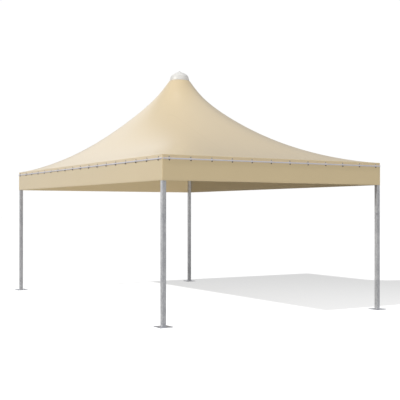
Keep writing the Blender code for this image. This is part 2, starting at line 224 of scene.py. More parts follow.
def coverSeams(along, down):
    # Welded seams run from crown to eave, a sheet's width apart at the eave
    apart = clothFinish["seamDistance"]
    return 1 - (along + apart).wrapped(apart).band(*clothFinish["seamEdge"])


def valanceSeams(along, down):
    # The hem's weld at the lower edge
    return (1 - down.band(*clothFinish["hemUpper"])) * down.band(*clothFinish["hemLower"])


coverCloth = coatedCloth("coverCloth", clothFinish["cover"], coverSeams)
valanceCloth = coatedCloth("valanceCloth", clothFinish["valance"], valanceSeams)


# Galvanised steel: dull zinc with a mottled spangle, cooler and warmer patches, and run marks

zincFinish = {
    "cellTone": 0.30,
    "cellRoughness": 0.10,
    "cellBump": (0.00008, 0.3),
    "patches": (9.0, 5.0, 0.62),
    "patchTone": 1.1,
    "patchRoughness": 0.25,
    "patchBump": (0.0008, 0.35),
    "runs": (26.0, 4.0, 0.6),
    "runStretch": (1, 1, 0.22),
    "runTone": 0.9,
}
steelKinds = {  # bright colour, dull colour, spangle scale, metallic, roughness
    "postZinc": ((0.87, 0.875, 0.89), (0.48, 0.49, 0.525), 55.0, 0.45, 0.36),
    "beamZinc": ((0.66, 0.66, 0.66), (0.42, 0.43, 0.46), 55.0, 0.40, 0.42),
    "plateZinc": ((0.76, 0.77, 0.82), (0.48, 0.50, 0.58), 40.0, 0.40, 0.42),
    "tabMetal": ((0.36, 0.35, 0.35), (0.24, 0.24, 0.25), 120.0, 0.3, 0.45),
    "weldZinc": ((0.62, 0.63, 0.66), (0.44, 0.45, 0.50), 150.0, 0.5, 0.5),
    "stayMetal": ((0.58, 0.59, 0.61), (0.42, 0.43, 0.46), 90.0, 0.85, 0.34),
}


def galvanisedSteel(name, bright, dull, spangle, metallic, roughness):
    plan = zincFinish
    graph = Graph(bpy.data.materials.new(name))
    space = graph.place()
    cells = graph.node("ShaderNodeTexVoronoi", {}, {"Vector": space, "Scale": spangle,
                                                    "Randomness": 1.0}, "Color")
    cell = graph.node("ShaderNodeSeparateColor", {}, {0: cells})
    patches = graph.noise(space, *plan["patches"])
    runs = graph.noise(graph.place(plan["runStretch"]), *plan["runs"])
    tone = (cell - 0.5) * plan["cellTone"] + (patches - 0.5) * plan["patchTone"]
    tone = tone + (runs - 0.5) * plan["runTone"]
    base = graph.mixed((tone + 0.5).clipped(), dull, bright)
    rough = (patches - 0.5) * plan["patchRoughness"] + (cell - 0.5) * plan["cellRoughness"]
    surface = graph.bumped(patches, *plan["patchBump"])
    surface = graph.bumped(cell, *plan["cellBump"], surface)
    return graph.finish(colour=base, roughness=rough + roughness, metallic=metallic,
                        normal=surface)


steel = {name: galvanisedSteel(name, *values) for name, values in steelKinds.items()}

# Drawn aluminium: smooth and pale, with a fine grain and faint smears

railFinish = {
    "colour": (0.76, 0.74, 0.80),
    "darker": 0.93,
    "metallic": 0.12,
    "roughness": 0.34,
    "grain": (220.0, 3.0, 0.6),
    "grainRoughness": 0.08,
    "grainBump": (0.0001, 0.2),
    "smears": (7.0, 4.0, 0.55),
    "smearTone": 0.8,
    "smearRoughness": 0.15,
}


def drawnAluminium(name):
    plan = railFinish
    graph = Graph(bpy.data.materials.new(name))
    space = graph.place()
    grain = graph.noise(space, *plan["grain"])
    smears = graph.noise(space, *plan["smears"])
    base = graph.mixed((smears - 0.5) * plan["smearTone"] + 0.5,
                       shaded(plan["colour"], plan["darker"]), plan["colour"])
    rough = (smears - 0.5) * plan["smearRoughness"] + (grain - 0.5) * plan["grainRoughness"]
    return graph.finish(colour=base, roughness=rough + plan["roughness"],
                        metallic=plan["metallic"], normal=graph.bumped(grain, *plan["grainBump"]))


railMetal = drawnAluminium("railMetal")

# Moulded plastic: finely stippled, a little cloudy

plasticFinish = {
    "cap": ((0.83, 0.82, 0.80), 0.38),  # colour and roughness
    "knob": ((0.045, 0.043, 0.042), 0.5),
    "darker": 0.94,
    "stipple": (420.0, 2.0, 0.5),
    "stippleBump": (0.00015, 0.25),
    "clouds": (8.0, 4.0, 0.6),
    "cloudTone": 0.9,
    "cloudRoughness": 0.12,
}


def mouldedPlastic(name, colour, roughness):
    plan = plasticFinish
    graph = Graph(bpy.data.materials.new(name))
    space = graph.place()
    stipple = graph.noise(space, *plan["stipple"])
    clouds = graph.noise(space, *plan["clouds"])
    base = graph.mixed((clouds - 0.5) * plan["cloudTone"] + 0.5,
                       shaded(colour, plan["darker"]), colour)
    rough = (clouds - 0.5) * plan["cloudRoughness"] + roughness
    return graph.finish(colour=base, roughness=rough,
                        normal=graph.bumped(stipple, *plan["stippleBump"]))


capPlastic = mouldedPlastic("capPlastic", *plasticFinish["cap"])
knobPlastic = mouldedPlastic("knobPlastic", *plasticFinish["knob"])
print("materials made")


# Shared steps for every piece

def deselect():
    if bpy.context.object and bpy.context.object.mode != "OBJECT":
        bpy.ops.object.mode_set(mode="OBJECT")
    bpy.ops.object.select_all(action="DESELECT")


def only(piece):
    deselect()
    piece.select_set(True)
    bpy.context.view_layer.objects.active = piece


def applyPlace():
    bpy.ops.object.transform_apply(location=True, rotation=True, scale=True)


def applyModifier(piece, kind, **settings):
    only(piece)
    modifier = piece.modifiers.new(kind.title(), kind)
    for key, value in settings.items():
        setattr(modifier, key, value)
    bpy.ops.object.modifier_apply(modifier=modifier.name)


def softenEdges(piece, width, angle):
    # Rounds the edges that turn by more than the angle
    applyModifier(piece, "BEVEL", width=width, segments=2, limit_method="ANGLE",
                  angle_limit=math.radians(angle))


def smooth(piece, crease):
    # An edge that turns by more than the crease, in degrees, stays sharp
    only(piece)
    bpy.ops.object.shade_smooth_by_angle(angle=math.radians(crease))


def settle(piece, name, finish):
    # Applies the piece's place to its mesh and hands it to the frame
    only(piece)
    applyPlace()
    piece.name = name
    piece.data.name = name
    piece.data.materials.clear()
    piece.data.materials.append(finish)
    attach(piece, "root")
    return piece


def dropPicks(piece):
    bpy.ops.object.mode_set(mode="OBJECT")
    for element in (*piece.data.vertices, *piece.data.edges, *piece.data.polygons):
        element.select = False


def pickFaces(piece, chosen):
    # In edit mode, selects the faces whose centre and normal pass the test
    dropPicks(piece)
    for face in piece.data.polygons:
        face.select = chosen(face.center, face.normal)
    bpy.ops.object.mode_set(mode="EDIT")


def pickEdges(piece, chosen):
    # The same for edges, by their two ends. An edge between two picked points is taken as well
    dropPicks(piece)
    points = piece.data.vertices
    for edge in piece.data.edges:
        edge.select = chosen(points[edge.vertices[0]].co, points[edge.vertices[1]].co)
    bpy.ops.object.mode_set(mode="EDIT")


def leaveEditing():
    # Turns all faces outwards first
    bpy.ops.mesh.select_all(action="SELECT")
    bpy.ops.mesh.normals_make_consistent(inside=False)
    bpy.ops.object.mode_set(mode="OBJECT")


def ringStack(rings, sides, capped=(True, True)):
    # A round form made by hand: a circle, then one extrusion and scaling for each further ring.
    # A ring is its radius and height
    deselect()
    radius, height = rings[0]
    bpy.ops.mesh.primitive_circle_add(vertices=sides, radius=radius, location=(0, 0, 0),
                                      fill_type="NGON" if capped[0] else "NOTHING")
    piece = bpy.context.object
    bpy.ops.object.mode_set(mode="EDIT")
    bpy.ops.mesh.select_mode(type="VERT")
    bpy.ops.mesh.select_all(action="SELECT")
    bpy.ops.transform.translate(value=(0, 0, height))
    for nextRadius, nextHeight in rings[1:]:
        bpy.ops.mesh.extrude_edges_move(
            TRANSFORM_OT_translate={"value": (0, 0, nextHeight - height)})
        size = nextRadius / radius
        bpy.ops.transform.resize(value=(size, size, 1), center_override=(0, 0, nextHeight))
        radius, height = nextRadius, nextHeight
    if capped[1]:
        bpy.ops.mesh.edge_face_add()
    leaveEditing()
    return piece


def lengthwise(rings, sides):
    # A turned form on the X axis
    piece = ringStack(rings, sides)
    piece.data.transform(Matrix.Rotation(math.pi / 2, 4, "Y"))
    return piece


def outwards(piece, depth, height):
    # Turns a piece made upright so that it points out of the front face
    piece.data.transform(Matrix.Translation((0, -depth, height)) @
                         Matrix.Rotation(math.pi / 2, 4, "X"))
    return piece


def joinedPieces(pieces):
    deselect()
    for piece in pieces:
        piece.select_set(True)
    bpy.context.view_layer.objects.active = pieces[0]
    bpy.ops.object.join()
    return bpy.context.object


def copyAt(piece, place):
    copy = piece.copy()
    copy.data = piece.data.copy()
    copy.data.transform(place)
    scene.collection.objects.link(copy)
    return copy


def copiesAt(piece, places):
    # One joined mesh of a piece copied to each place
    copies = [copyAt(piece, place) for place in places]
    bpy.data.objects.remove(piece, do_unlink=True)
    return joinedPieces(copies)


def clothBand(name, points, count, mapping):
    # A closed band of cloth from rows of points, each row once round the tent
    faces = []
    for row in range(len(points) // count - 1):
        for i in range(count):
            j = (i + 1) % count
            faces.append((row * count + i, (row + 1) * count + i,
                          (row + 1) * count + j, row * count + j))
    mesh = bpy.data.meshes.new(name)
    mesh.from_pydata(points, [], faces)
    layer = mesh.uv_layers.new(name="clothMap")
    for loop in mesh.loops:
        layer.data[loop.index].uv = mapping[loop.vertex_index]
    piece = bpy.data.objects.new(name, mesh)
    scene.collection.objects.link(piece)
    applyModifier(piece, "SOLIDIFY", thickness=clothFinish["thickness"], offset=-1)
    return piece


# Cover: one sheet that hangs from a round crown and is pulled out to the tent's rectangle

coverPlan = {
    "halfLength": 3.0,
    "halfWidth": 2.0,
    "corner": 0.0065,
    "cornerSteps": 5,
    "edgeInset": 0.0013,  # lies just behind the valance
    "crownRadius": 0.170,
    "crownHeight": 3.955,
    "eaveHeight": 2.357,
    "skirtEnd": 2.2945,
    "neckEase": 0.02,
    "neckStart": 0.0052,  # below this share of the way the cloth is a straight collar
    "collar": [(0.1698, 3.9545), (0.1706, 3.9475), (0.1718, 3.9410), (0.1742, 3.9368),
               (0.1795, 3.9328)],
    "narrowing": -0.212,  # how the short sides pull in on the way up
    "squaring": (1.85, -0.56),  # how round turns to square on the way down
    "fall": [(0.455, 1), (0.4215, 2), (0.1235, 16)],  # weights and powers of the way still to go
    "rings": 72,
    "ringSpacing": (1.25, 1.15),
    "lastRing": 0.996,
    "firstRing": 1.3,  # times the neck's share
    "columns": 30,  # on each half side
    "columnSpacing": 1.35,
    "fold": 0.005,
    "foldSteps": 4,
    "foldCrown": 0.35,
    "foldEnd": 0.030,
    "mapCrown": 0.08,  # width of the cloth's map at the crown, and its length to the eave
    "mapLength": 3.4,
    "crease": 40,
}
halfLength, halfWidth = coverPlan["halfLength"], coverPlan["halfWidth"]


def coverShape(share):
    # Half sizes, squareness and height at a share of the way from crown to eave
    plan = coverPlan
    rest = 1 - share
    radius = plan["crownRadius"]
    halfX = radius + (halfLength - radius) * share
    eased = (share + plan["neckEase"]) / (1 + plan["neckEase"])
    halfY = radius + (halfWidth - radius) * share * eased ** plan["narrowing"]
    gain, power = plan["squaring"]
    square = 2 + gain * (max(rest, 1e-6) ** power - 1)
    fall = sum(weight * rest ** power for weight, power in plan["fall"])
    height = plan["eaveHeight"] + (plan["crownHeight"] - plan["eaveHeight"]) * fall
    return halfX, halfY, square, height


def superellipse(angle, halfX, halfY, square):
    across = abs(math.cos(angle)) / halfX
    up = abs(math.sin(angle)) / halfY
    largest = max(across, up)
    total = (across / largest) ** square + (up / largest) ** square
    return 1 / (largest * total ** (1 / square))


def roundedSide(angle, inset):
    # Distance from the mast to the eave's rectangle with its rounded corners
    corner = coverPlan["corner"]
    halfX, halfY = halfLength - inset, halfWidth - inset
    x, y = abs(math.cos(angle)), abs(math.sin(angle))
    reach = min(halfX / max(x, 1e-9), halfY / max(y, 1e-9))
    arc = Vector((halfX - corner, halfY - corner))
    if reach * x > arc.x and reach * y > arc.y:
        nearest = arc.x * x + arc.y * y
        reach = nearest + math.sqrt(nearest ** 2 - arc.length_squared + corner ** 2)
    return reach


def eaveColumns(halfAlong, halfAcross, columns):
    # Angles from a side's middle to its hip, and the distance along the eave at each
    corner, steps = coverPlan["corner"], coverPlan["cornerSteps"]
    angles = []
    lengths = []
    for i in range(columns + 1):
        along = (halfAlong - corner) * (1 - (1 - i / columns) ** coverPlan["columnSpacing"])
        angles.append(math.atan2(along, halfAcross))
        lengths.append(along)
    for i in range(steps):
        turn = (i + 1) / steps * math.pi / 4
        angles.append(math.atan2(halfAlong - corner * (1 - math.sin(turn)),
                                 halfAcross - corner * (1 - math.cos(turn))))
        lengths.append(halfAlong - corner + corner * turn)
    return angles, lengths


def roundTheTent(columns):
    # Each column's eave angle, crown angle and distance along the eave, once round the tent
    made = []
    for side in range(4):
        halves = (halfWidth, halfLength) if side % 2 else (halfLength, halfWidth)
        facing = (side - 1) * math.pi / 2
        angles, lengths = eaveColumns(*halves, columns)
        last = len(angles) - 1
        crownStep = math.pi / 4 / last
        for i in range(-last, last):
            sign = -1 if i < 0 else 1
            made.append((facing + sign * angles[abs(i)], facing + crownStep * i,
                         sign * lengths[abs(i)]))
    return made


def ringShares():
    # Where the cover's rings lie, as shares of the way from crown to eave
    plan = coverPlan
    crowding, easing = plan["ringSpacing"]
    first = plan["neckStart"]
    shares = [1 - (1 - i / plan["rings"]) ** crowding for i in range(plan["rings"])]
    shares = [share ** easing for share in shares if share < plan["lastRing"]]
    return [first] + [share for share in shares if share > first * plan["firstRing"]]


def turnedEdge():
    # Inset and rise of the cloth where it folds over the eave and hangs behind the rail
    plan = coverPlan
    fold, steps = plan["fold"], plan["foldSteps"]
    edge = []
    for i in range(steps + 1):
        t = i / steps
        edge.append((fold * (1 - t) ** 2, fold * (plan["foldCrown"] * (1 - t) ** 2 - t ** 2)))
    return edge + [(0.0, -plan["foldEnd"]), (0.0, plan["skirtEnd"] - plan["eaveHeight"])]


def aroundMast(reach, angle, height):
    return Vector((reach * math.cos(angle), reach * math.sin(angle), height))


def makeCover():
    plan = coverPlan
    columns = roundTheTent(plan["columns"])
    mapCrown, mapLength = plan["mapCrown"], plan["mapLength"]
    points = []
    mapping = []
    for reach, height in plan["collar"]:
        for eaveAngle, crownAngle, along in columns:
            points.append(aroundMast(reach, crownAngle, height))
            mapping.append((along * mapCrown, plan["crownHeight"] - height))
    for share in ringShares():
        halfX, halfY, square, height = coverShape(share)
        for eaveAngle, crownAngle, along in columns:
            angle = eaveAngle * share + crownAngle * (1 - share)
            points.append(aroundMast(superellipse(angle, halfX, halfY, square), angle, height))
            mapping.append((along * (mapCrown + (1 - mapCrown) * share), share * mapLength))
    for inset, rise in turnedEdge():
        for eaveAngle, crownAngle, along in columns:
            points.append(aroundMast(roundedSide(eaveAngle, plan["edgeInset"] + inset), eaveAngle,
                                     plan["eaveHeight"] + rise))
            mapping.append((along, mapLength - rise))
    cover = clothBand("roofCover", points, len(columns), mapping)
    smooth(cover, plan["crease"])
    return settle(cover, "roofCover", coverCloth)


cover = makeCover()
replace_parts(cover, "roof_cover_front", "roof_cover_back", "roof_cover_left", "roof_cover_right")
print("cover made")

# Valance: a straight band that hangs from the eave rail, its lower edge hemmed to the inside

valancePlan = {
    "top": 2.3125,
    "bottom": 2.0,
    "rows": 16,
    "columns": 44,
    "layerGap": 0.0002,
    "hem": [(0.0, 0.0012), (0.25, 0.0002), (0.75, 0.0002), (1.0, 0.0012),
            (1.0, 0.034)],  # share of a layer inwards, height over the lower edge
    "sway": 0.0035,  # how far the free edge stands out between the posts
    "swayStart": 2.26,
    "swayFall": 0.26,
    "swayPower": 1.5,
    "postHold": 6,
    "waves": (7.3, 2.1, 2.9),
    "crease": 50,
}


def makeValance():
    plan = valancePlan
    columns = roundTheTent(plan["columns"])
    step = plan["top"] - plan["bottom"]
    profile = [(0.0, plan["top"] - step * i / plan["rows"]) for i in range(plan["rows"])]
    layer = clothFinish["thickness"] + plan["layerGap"]
    profile += [(layer * share, plan["bottom"] + height) for share, height in plan["hem"]]
    first, second, third = plan["waves"]
    points = []
    mapping = []
    for inset, height in profile:
        free = (plan["swayStart"] - height) / plan["swayFall"]
        free = min(1.0, max(0.0, free)) ** plan["swayPower"]
        for eaveAngle, crownAngle, along in columns:
            point = aroundMast(roundedSide(eaveAngle, inset), eaveAngle, height)
            onLongSide = abs(point.x) * halfWidth < abs(point.y) * halfLength
            half = halfLength if onLongSide else halfWidth
            hold = max(0.0, 1 - (abs(along) / half) ** plan["postHold"])
            wave = math.sin(along * first + eaveAngle * second) * math.cos(along * third)
            out = plan["sway"] * free * hold * (0.5 + 0.5 * wave)
            if onLongSide:
                point.y += math.copysign(out, point.y)
            else:
                point.x += math.copysign(out, point.x)
            points.append(point)
            mapping.append((along, height - plan["bottom"]))
    valance = clothBand("valance", points, len(columns), mapping)
    smooth(valance, plan["crease"])
    return settle(valance, "valance", valanceCloth)


valance = makeValance()
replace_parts(valance, "valance_front", "valance_back", "valance_left", "valance_right")
print("valance made")

# Eave rail: flat drawn bar with soft edges. The side lengths are meant to turn the corners, but
# the spin turns the other way, so their ends fold back inwards and the corners stay bare

railPlan = {
    "depth": 0.011,
    "height": 0.020,
    "edge": 0.0032,
    "edgeSteps": 4,
    "centre": 2.303,
    "gap": 0.0003,
    "joint": 0.0006,
    "corner": 0.0065,
    "cornerSteps": 8,
    "crease": 40,
}
tiny = 1e-5  # slack for picking edges by their place


def makeRail(halfSide, halfAcross, turned):
    plan = railPlan
    deselect()
    inner = halfAcross + plan["gap"]
    reach = halfSide - plan["corner"] - (0 if turned else plan["joint"])
    bpy.ops.mesh.primitive_cube_add(size=1, location=(0, -inner - plan["depth"] / 2,
                                                      plan["centre"]),
                                    scale=(2 * reach, plan["depth"], plan["height"]))
    rail = bpy.context.object
    applyPlace()
    outer = -inner - plan["depth"] + tiny
    pickEdges(rail, lambda a, b: a.y < outer and b.y < outer and abs(a.x - b.x) > 1)
    bpy.ops.mesh.bevel(offset=plan["edge"], segments=plan["edgeSteps"], profile=0.5,
                       affect="EDGES")
    if turned:
        for sign in (-1, 1):
            pickFaces(rail, lambda centre, normal: normal.x * sign > 0.9 and centre.x * sign > 1)
            bpy.ops.mesh.spin(steps=plan["cornerSteps"], angle=sign * math.pi / 2,
                              center=(sign * reach, -(halfAcross - plan["corner"]),
                                      plan["centre"]),
                              axis=(0, 0, 1), dupli=False)
    leaveEditing()
    smooth(rail, plan["crease"])
    return rail


halfTurn = Matrix.Rotation(math.pi, 4, "Z")
quarterTurn = Matrix.Rotation(math.pi / 2, 4, "Z")
longRails = copiesAt(makeRail(halfLength, halfWidth, False), [Matrix.Identity(4), halfTurn])
settle(longRails, "longEaveRails", railMetal)
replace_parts(longRails, "eave_rail_front", "eave_rail_back")
sideRails = copiesAt(makeRail(halfWidth, halfLength, True), [quarterTurn, halfTurn @ quarterTurn])
settle(sideRails, "sideEaveRails", railMetal)
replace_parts(sideRails, "eave_rail_left", "eave_rail_right")
print("rails made")

# Saddle clips: a bent strap over the rail, riveted above it, with a dark clamping knob below it.
# Places and the strap's points are a depth and a height from the rail's middle

clipPlan = {
    "longSide": 18,
    "shortSide": 12,
    "endDistance": 0.105,
    "width": 0.0175,
    "strap": 0.0016,
    "strapEdge": (0.0004, 50),  # width of the bevel, and the angle from which it is made
    "strapCrease": 40,
    "strapPath": [(0.0004, 0.0300), (0.0004, 0.0130), (0.0040, 0.0113), (0.0095, 0.0105),
                  (0.0120, 0.0082), (0.0127, 0.0040), (0.0127, -0.0040), (0.0120, -0.0082),
                  (0.0095, -0.0105), (0.0040, -0.0116), (0.0024, -0.0135), (0.0024, -0.0270)],
    "tab": (0.0150, 0.0022, 0.0165),
    "tabPlace": (0.0032, 0.0225),
    "tabBorder": 0.0026,
    "tabPress": 0.0008,
    "tabCrease": 35,
    "rivet": [(0.0036, 0.0), (0.0036, 0.0008), (0.0028, 0.0018), (0.0010, 0.0022)],
    "rivetDepth": 0.0048,
    "rivetSides": 10,
    "knob": [(0.8, 0.0), (0.8, 0.0020), (1.0, 0.0026), (1.0, 0.0075), (0.93, 0.0088),
             (0.72, 0.0096), (0.42, 0.0098), (0.40, 0.0070)],  # radius as a share
    "knobRadius": 0.0092,
    "knobPlace": (0.0040, -0.0196),
    "knobSides": 16,
    "knobCrease": 40,
}


def clipPlaces():
    places = []
    for halfSide, halfAcross, count, turns in (
        (halfLength, halfWidth, clipPlan["longSide"], (0, 2)),
        (halfWidth, halfLength, clipPlan["shortSide"], (1, 3)),
    ):
        reach = halfSide - clipPlan["endDistance"]
        for turn in turns:
            around = Matrix.Rotation(turn * math.pi / 2, 4, "Z")
            for i in range(count):
                along = reach * (2 * i / (count - 1) - 1)
                places.append(around @ Matrix.Translation((along, -halfAcross,
                                                           railPlan["centre"])))
    return places


def makeStrap():
    path = clipPlan["strapPath"]
    upper, lower = path[0][1], path[1][1]
    deselect()
    bpy.ops.mesh.primitive_plane_add(size=1, location=(0, -path[0][0], 0),
                                     rotation=(math.pi / 2, 0, 0))
    strap = bpy.context.object
    applyPlace()
    for point in strap.data.vertices:
        point.co.x = math.copysign(clipPlan["width"] / 2, point.co.x)
        point.co.z = upper if point.co.z > 0 else lower
    pickEdges(strap, lambda a, b: max(a.z, b.z) < lower + tiny)
    for (depth, height), (nextDepth, nextHeight) in zip(path[1:], path[2:]):
        bpy.ops.mesh.extrude_edges_move(
            TRANSFORM_OT_translate={"value": (0, depth - nextDepth, nextHeight - height)})
    bpy.ops.object.mode_set(mode="OBJECT")
    applyModifier(strap, "SOLIDIFY", thickness=clipPlan["strap"], offset=1)
    softenEdges(strap, *clipPlan["strapEdge"])
    return strap


def makeTab():
    # Pressed plate over the strap's upper end, with its rivet
    depth, height = clipPlan["tabPlace"]
    deselect()
    bpy.ops.mesh.primitive_cube_add(size=1, location=(0, -depth, height), scale=clipPlan["tab"])
    tab = bpy.context.object
    applyPlace()
    pickFaces(tab, lambda centre, normal: normal.y < -0.9)
    bpy.ops.mesh.inset(thickness=clipPlan["tabBorder"], depth=clipPlan["tabPress"])
    bpy.ops.object.mode_set(mode="OBJECT")
    rivet = outwards(ringStack(clipPlan["rivet"], clipPlan["rivetSides"]), clipPlan["rivetDepth"],
                     height)
    return joinedPieces([tab, rivet])


def makeKnob():
    rings = [(clipPlan["knobRadius"] * share, height) for share, height in clipPlan["knob"]]
    return outwards(ringStack(rings, clipPlan["knobSides"]), *clipPlan["knobPlace"])


clipStraps = copiesAt(makeStrap(), clipPlaces())
smooth(clipStraps, clipPlan["strapCrease"])
settle(clipStraps, "clipStraps", railMetal)
clipTabs = copiesAt(makeTab(), clipPlaces())
smooth(clipTabs, clipPlan["tabCrease"])
settle(clipTabs, "clipTabs", steel["tabMetal"])
clipKnobs = copiesAt(makeKnob(), clipPlaces())
smooth(clipKnobs, clipPlan["knobCrease"])
settle(clipKnobs, "clipKnobs", knobPlastic)
print("clips made")

# Crown cap: a thin moulded dome with a turned rim, a pressed ring line and a nut on top, held to
# the crown ring by pan-head screws through its band

capPlan = {
    "rim": [(0.1752, 3.9362), (0.1780, 3.9366), (0.1786, 3.9385), (0.1776, 3.9405),
            (0.1768, 3.9440)],
    "band": [(0.1735, 3.9640), (0.1690, 3.9820), (0.1664, 3.9915)],
    "groove": [(0.1652, 3.9945), (0.1630, 3.9958), (0.1622, 3.9985), (0.1628, 4.0010)],
    "dome": [(0.1590, 4.0110), (0.1535, 4.0210), (0.1440, 4.0325), (0.1310, 4.0440),
             (0.1150, 4.0560), (0.0960, 4.0680), (0.0730, 4.0805), (0.0490, 4.0900),
             (0.0240, 4.0965), (0.0080, 4.0985)],
    "wall": 0.003,
    "sides": 72,
    "crease": 45,
    "nut": [(0.0190, -0.0018), (0.0190, 0.0016), (0.0175, 0.0026), (0.0140, 0.0030),
            (0.0140, 0.0119), (0.0128, 0.0144), (0.0095, 0.0176), (0.0050, 0.0197),
            (0.0015, 0.0202)],  # heights over the dome's top
    "nutSides": 28,
    "nutCrease": 35,
    "screw": [(0.0052, 0.0), (0.0052, 0.0012), (0.0045, 0.0024), (0.0028, 0.0031),
              (0.0010, 0.0032)],
    "screws": 12,
    "screwPlace": (0.1752, 3.955),
    "screwSides": 12,
    "screwCrease": 40,
}


def makeCap():
    plan = capPlan
    cap = ringStack(plan["rim"] + plan["band"] + plan["groove"] + plan["dome"], plan["sides"],
                    (False, True))
    applyModifier(cap, "SOLIDIFY", thickness=plan["wall"], offset=-1)
    smooth(cap, plan["crease"])
    return settle(cap, "crownCap", capPlastic)


def makeCapNut():
    plan = capPlan
    top = plan["dome"][-1][1]
    nut = ringStack([(radius, top + height) for radius, height in plan["nut"]], plan["nutSides"])
    smooth(nut, plan["nutCrease"])
    return settle(nut, "capNut", capPlastic)


def makeCapScrews():
    plan = capPlan
    count = plan["screws"]
    screw = outwards(ringStack(plan["screw"], plan["screwSides"]), *plan["screwPlace"])
    screws = copiesAt(screw, [Matrix.Rotation(math.tau * (i + 0.5) / count, 4, "Z")
                              for i in range(count)])
    smooth(screws, plan["screwCrease"])
    return settle(screws, "capScrews", steel["stayMetal"])


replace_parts(makeCap(), "crown_cap")
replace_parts(makeCapNut(), "cap_finial")
makeCapScrews()
print("cap made")

# Stays: a jaw on its pin at each end, a twisted wire rope between, and a turnbuckle at the post

stayPlan = {
    "footPin": 0.082,  # from the mast's axis
    "footLevel": 2.154,
    "postCorner": (2.9367, 1.9367),
    "lugInset": 0.143,
    "lugLevel": 2.3227,
    "turnbuckle": 0.235,
    "play": 0.0003,
    "crease": 35,
    "jaw": (0.013, 0.021),
    "jawSides": 24,
    "jawReach": 0.021,
    "jawEdge": (0.0009, 50),
    "slot": 0.0106,
    "slotBlock": 0.06,
    "throat": 0.022,
    "pinHead": [(0.0080, 0.0032), (0.0090, 0.0026), (0.0090, 0.0004), (0.0060, 0.0002)],
    "pinEnd": [(0.0060, 0.0042), (0.0050, 0.0052)],  # distances from the jaw's cheeks
    "pinSides": 18,
    "splitRing": (0.0066, 0.0008),
    "splitRingSides": (20, 6),
    "splitRingPlace": (0.0012, 0.0024),
    "splitRingTurn": 72,
    "rope": 0.0042,
    "ropeSides": 12,
    "ropeSteps": 12,  # in one turn of the lay
    "ropeValley": 0.80,
    "ropeLay": 0.060,
    "ropeHidden": 0.01,  # runs this far into the fittings
    "sleeve": [(0.0066, 0.032), (0.0070, 0.036), (0.0070, 0.056), (0.0064, 0.058),
               (0.0064, 0.063), (0.0070, 0.065), (0.0070, 0.083), (0.0062, 0.090),
               (0.0052, 0.095), (0.0040, 0.096)],
    "sleeveEnd": 0.095,
    "swage": [(0.0040, -0.001), (0.0052, 0.0), (0.0062, 0.006), (0.0065, 0.016), (0.0060, 0.018),
              (0.0060, 0.022), (0.0065, 0.024), (0.0065, 0.046), (0.0080, 0.048),
              (0.0080, 0.057), (0.0070, 0.0592)],
    "swageLength": 0.060,
    "fittingSides": 20,
    "threadRadii": (0.0060, 0.0050),
    "threadSpan": (0.030, 0.082),
    "threadStart": 0.0355,
    "threadPitch": 0.0016,
    "threadTurns": 24,
    "threadSides": 12,
    "lockNut": [(0.0098, 0.0680), (0.0115, 0.0690), (0.0115, 0.0770), (0.0098, 0.0780)],
    "barrel": [(0.0085, 0.0800), (0.0108, 0.0806), (0.0125, 0.0830), (0.0125, 0.1400),
               (0.0113, 0.1420), (0.0113, 0.1480), (0.0125, 0.1500), (0.0125, 0.1680),
               (0.0113, 0.1700), (0.0113, 0.1760), (0.0125, 0.1780), (0.0125, 0.2320),
               (0.0108, 0.2346), (0.0080, 0.2350)],
    "barrelSides": 24,
}


def makeJaw():
    # A fork with rounded cheeks, its headed pin on Z and a split ring through the pin
    plan = stayPlan
    radius, height = plan["jaw"]
    half = height / 2
    block = plan["slotBlock"]
    deselect()
    bpy.ops.mesh.primitive_cylinder_add(vertices=plan["jawSides"], radius=radius, depth=height)
    jaw = bpy.context.object
    pickFaces(jaw, lambda centre, normal: normal.x > 0.05 and abs(normal.z) < 0.5)
    bpy.ops.transform.translate(value=(plan["jawReach"], 0, 0))
    bpy.ops.object.mode_set(mode="OBJECT")
    bpy.ops.mesh.primitive_cube_add(size=1, location=(plan["throat"] - block / 2, 0, 0),
                                    scale=(block, block, plan["slot"]))
    slot = bpy.context.object
    applyModifier(jaw, "BOOLEAN", operation="DIFFERENCE", object=slot, solver="EXACT")
    bpy.data.objects.remove(slot, do_unlink=True)
    softenEdges(jaw, *plan["jawEdge"])
    pin = ringStack([(radius, -half - out) for radius, out in plan["pinHead"]]
                    + [(radius, half + out) for radius, out in plan["pinEnd"]], plan["pinSides"])
    major, minor = plan["splitRing"]
    around, across = plan["splitRingSides"]
    along, out = plan["splitRingPlace"]
    deselect()
    bpy.ops.mesh.primitive_torus_add(major_radius=major, minor_radius=minor,
                                     major_segments=around, minor_segments=across,
                                     location=(along, 0, half + out),
                                     rotation=(math.radians(plan["splitRingTurn"]), 0, 0))
    return joinedPieces([jaw, pin, bpy.context.object])


def makeRope(start, end):
    # A six-lobed outline, screwed along its length
    plan = stayPlan
    deselect()
    bpy.ops.mesh.primitive_circle_add(vertices=plan["ropeSides"], radius=plan["rope"],
                                      fill_type="NOTHING")
    rope = bpy.context.object
    dropPicks(rope)
    for i, point in enumerate(rope.data.vertices):
        point.select = i % 2 == 0
    bpy.ops.object.mode_set(mode="EDIT")
    valley = plan["ropeValley"]
    bpy.ops.transform.resize(value=(valley, valley, 1), center_override=(0, 0, 0))
    bpy.ops.object.mode_set(mode="OBJECT")
    turns = round((end - start) / plan["ropeLay"])
    applyModifier(rope, "SCREW", axis="Z", angle=math.tau, screw_offset=(end - start) / turns,
                  iterations=turns, steps=plan["ropeSteps"], render_steps=plan["ropeSteps"])
    bpy.ops.object.mode_set(mode="EDIT")
    bpy.ops.mesh.select_all(action="SELECT")
    bpy.ops.mesh.fill_holes(sides=0)
    leaveEditing()
    rope.data.transform(Matrix.Rotation(math.pi / 2, 4, "Y") @
                        Matrix.Translation((0, 0, start)))
    return rope


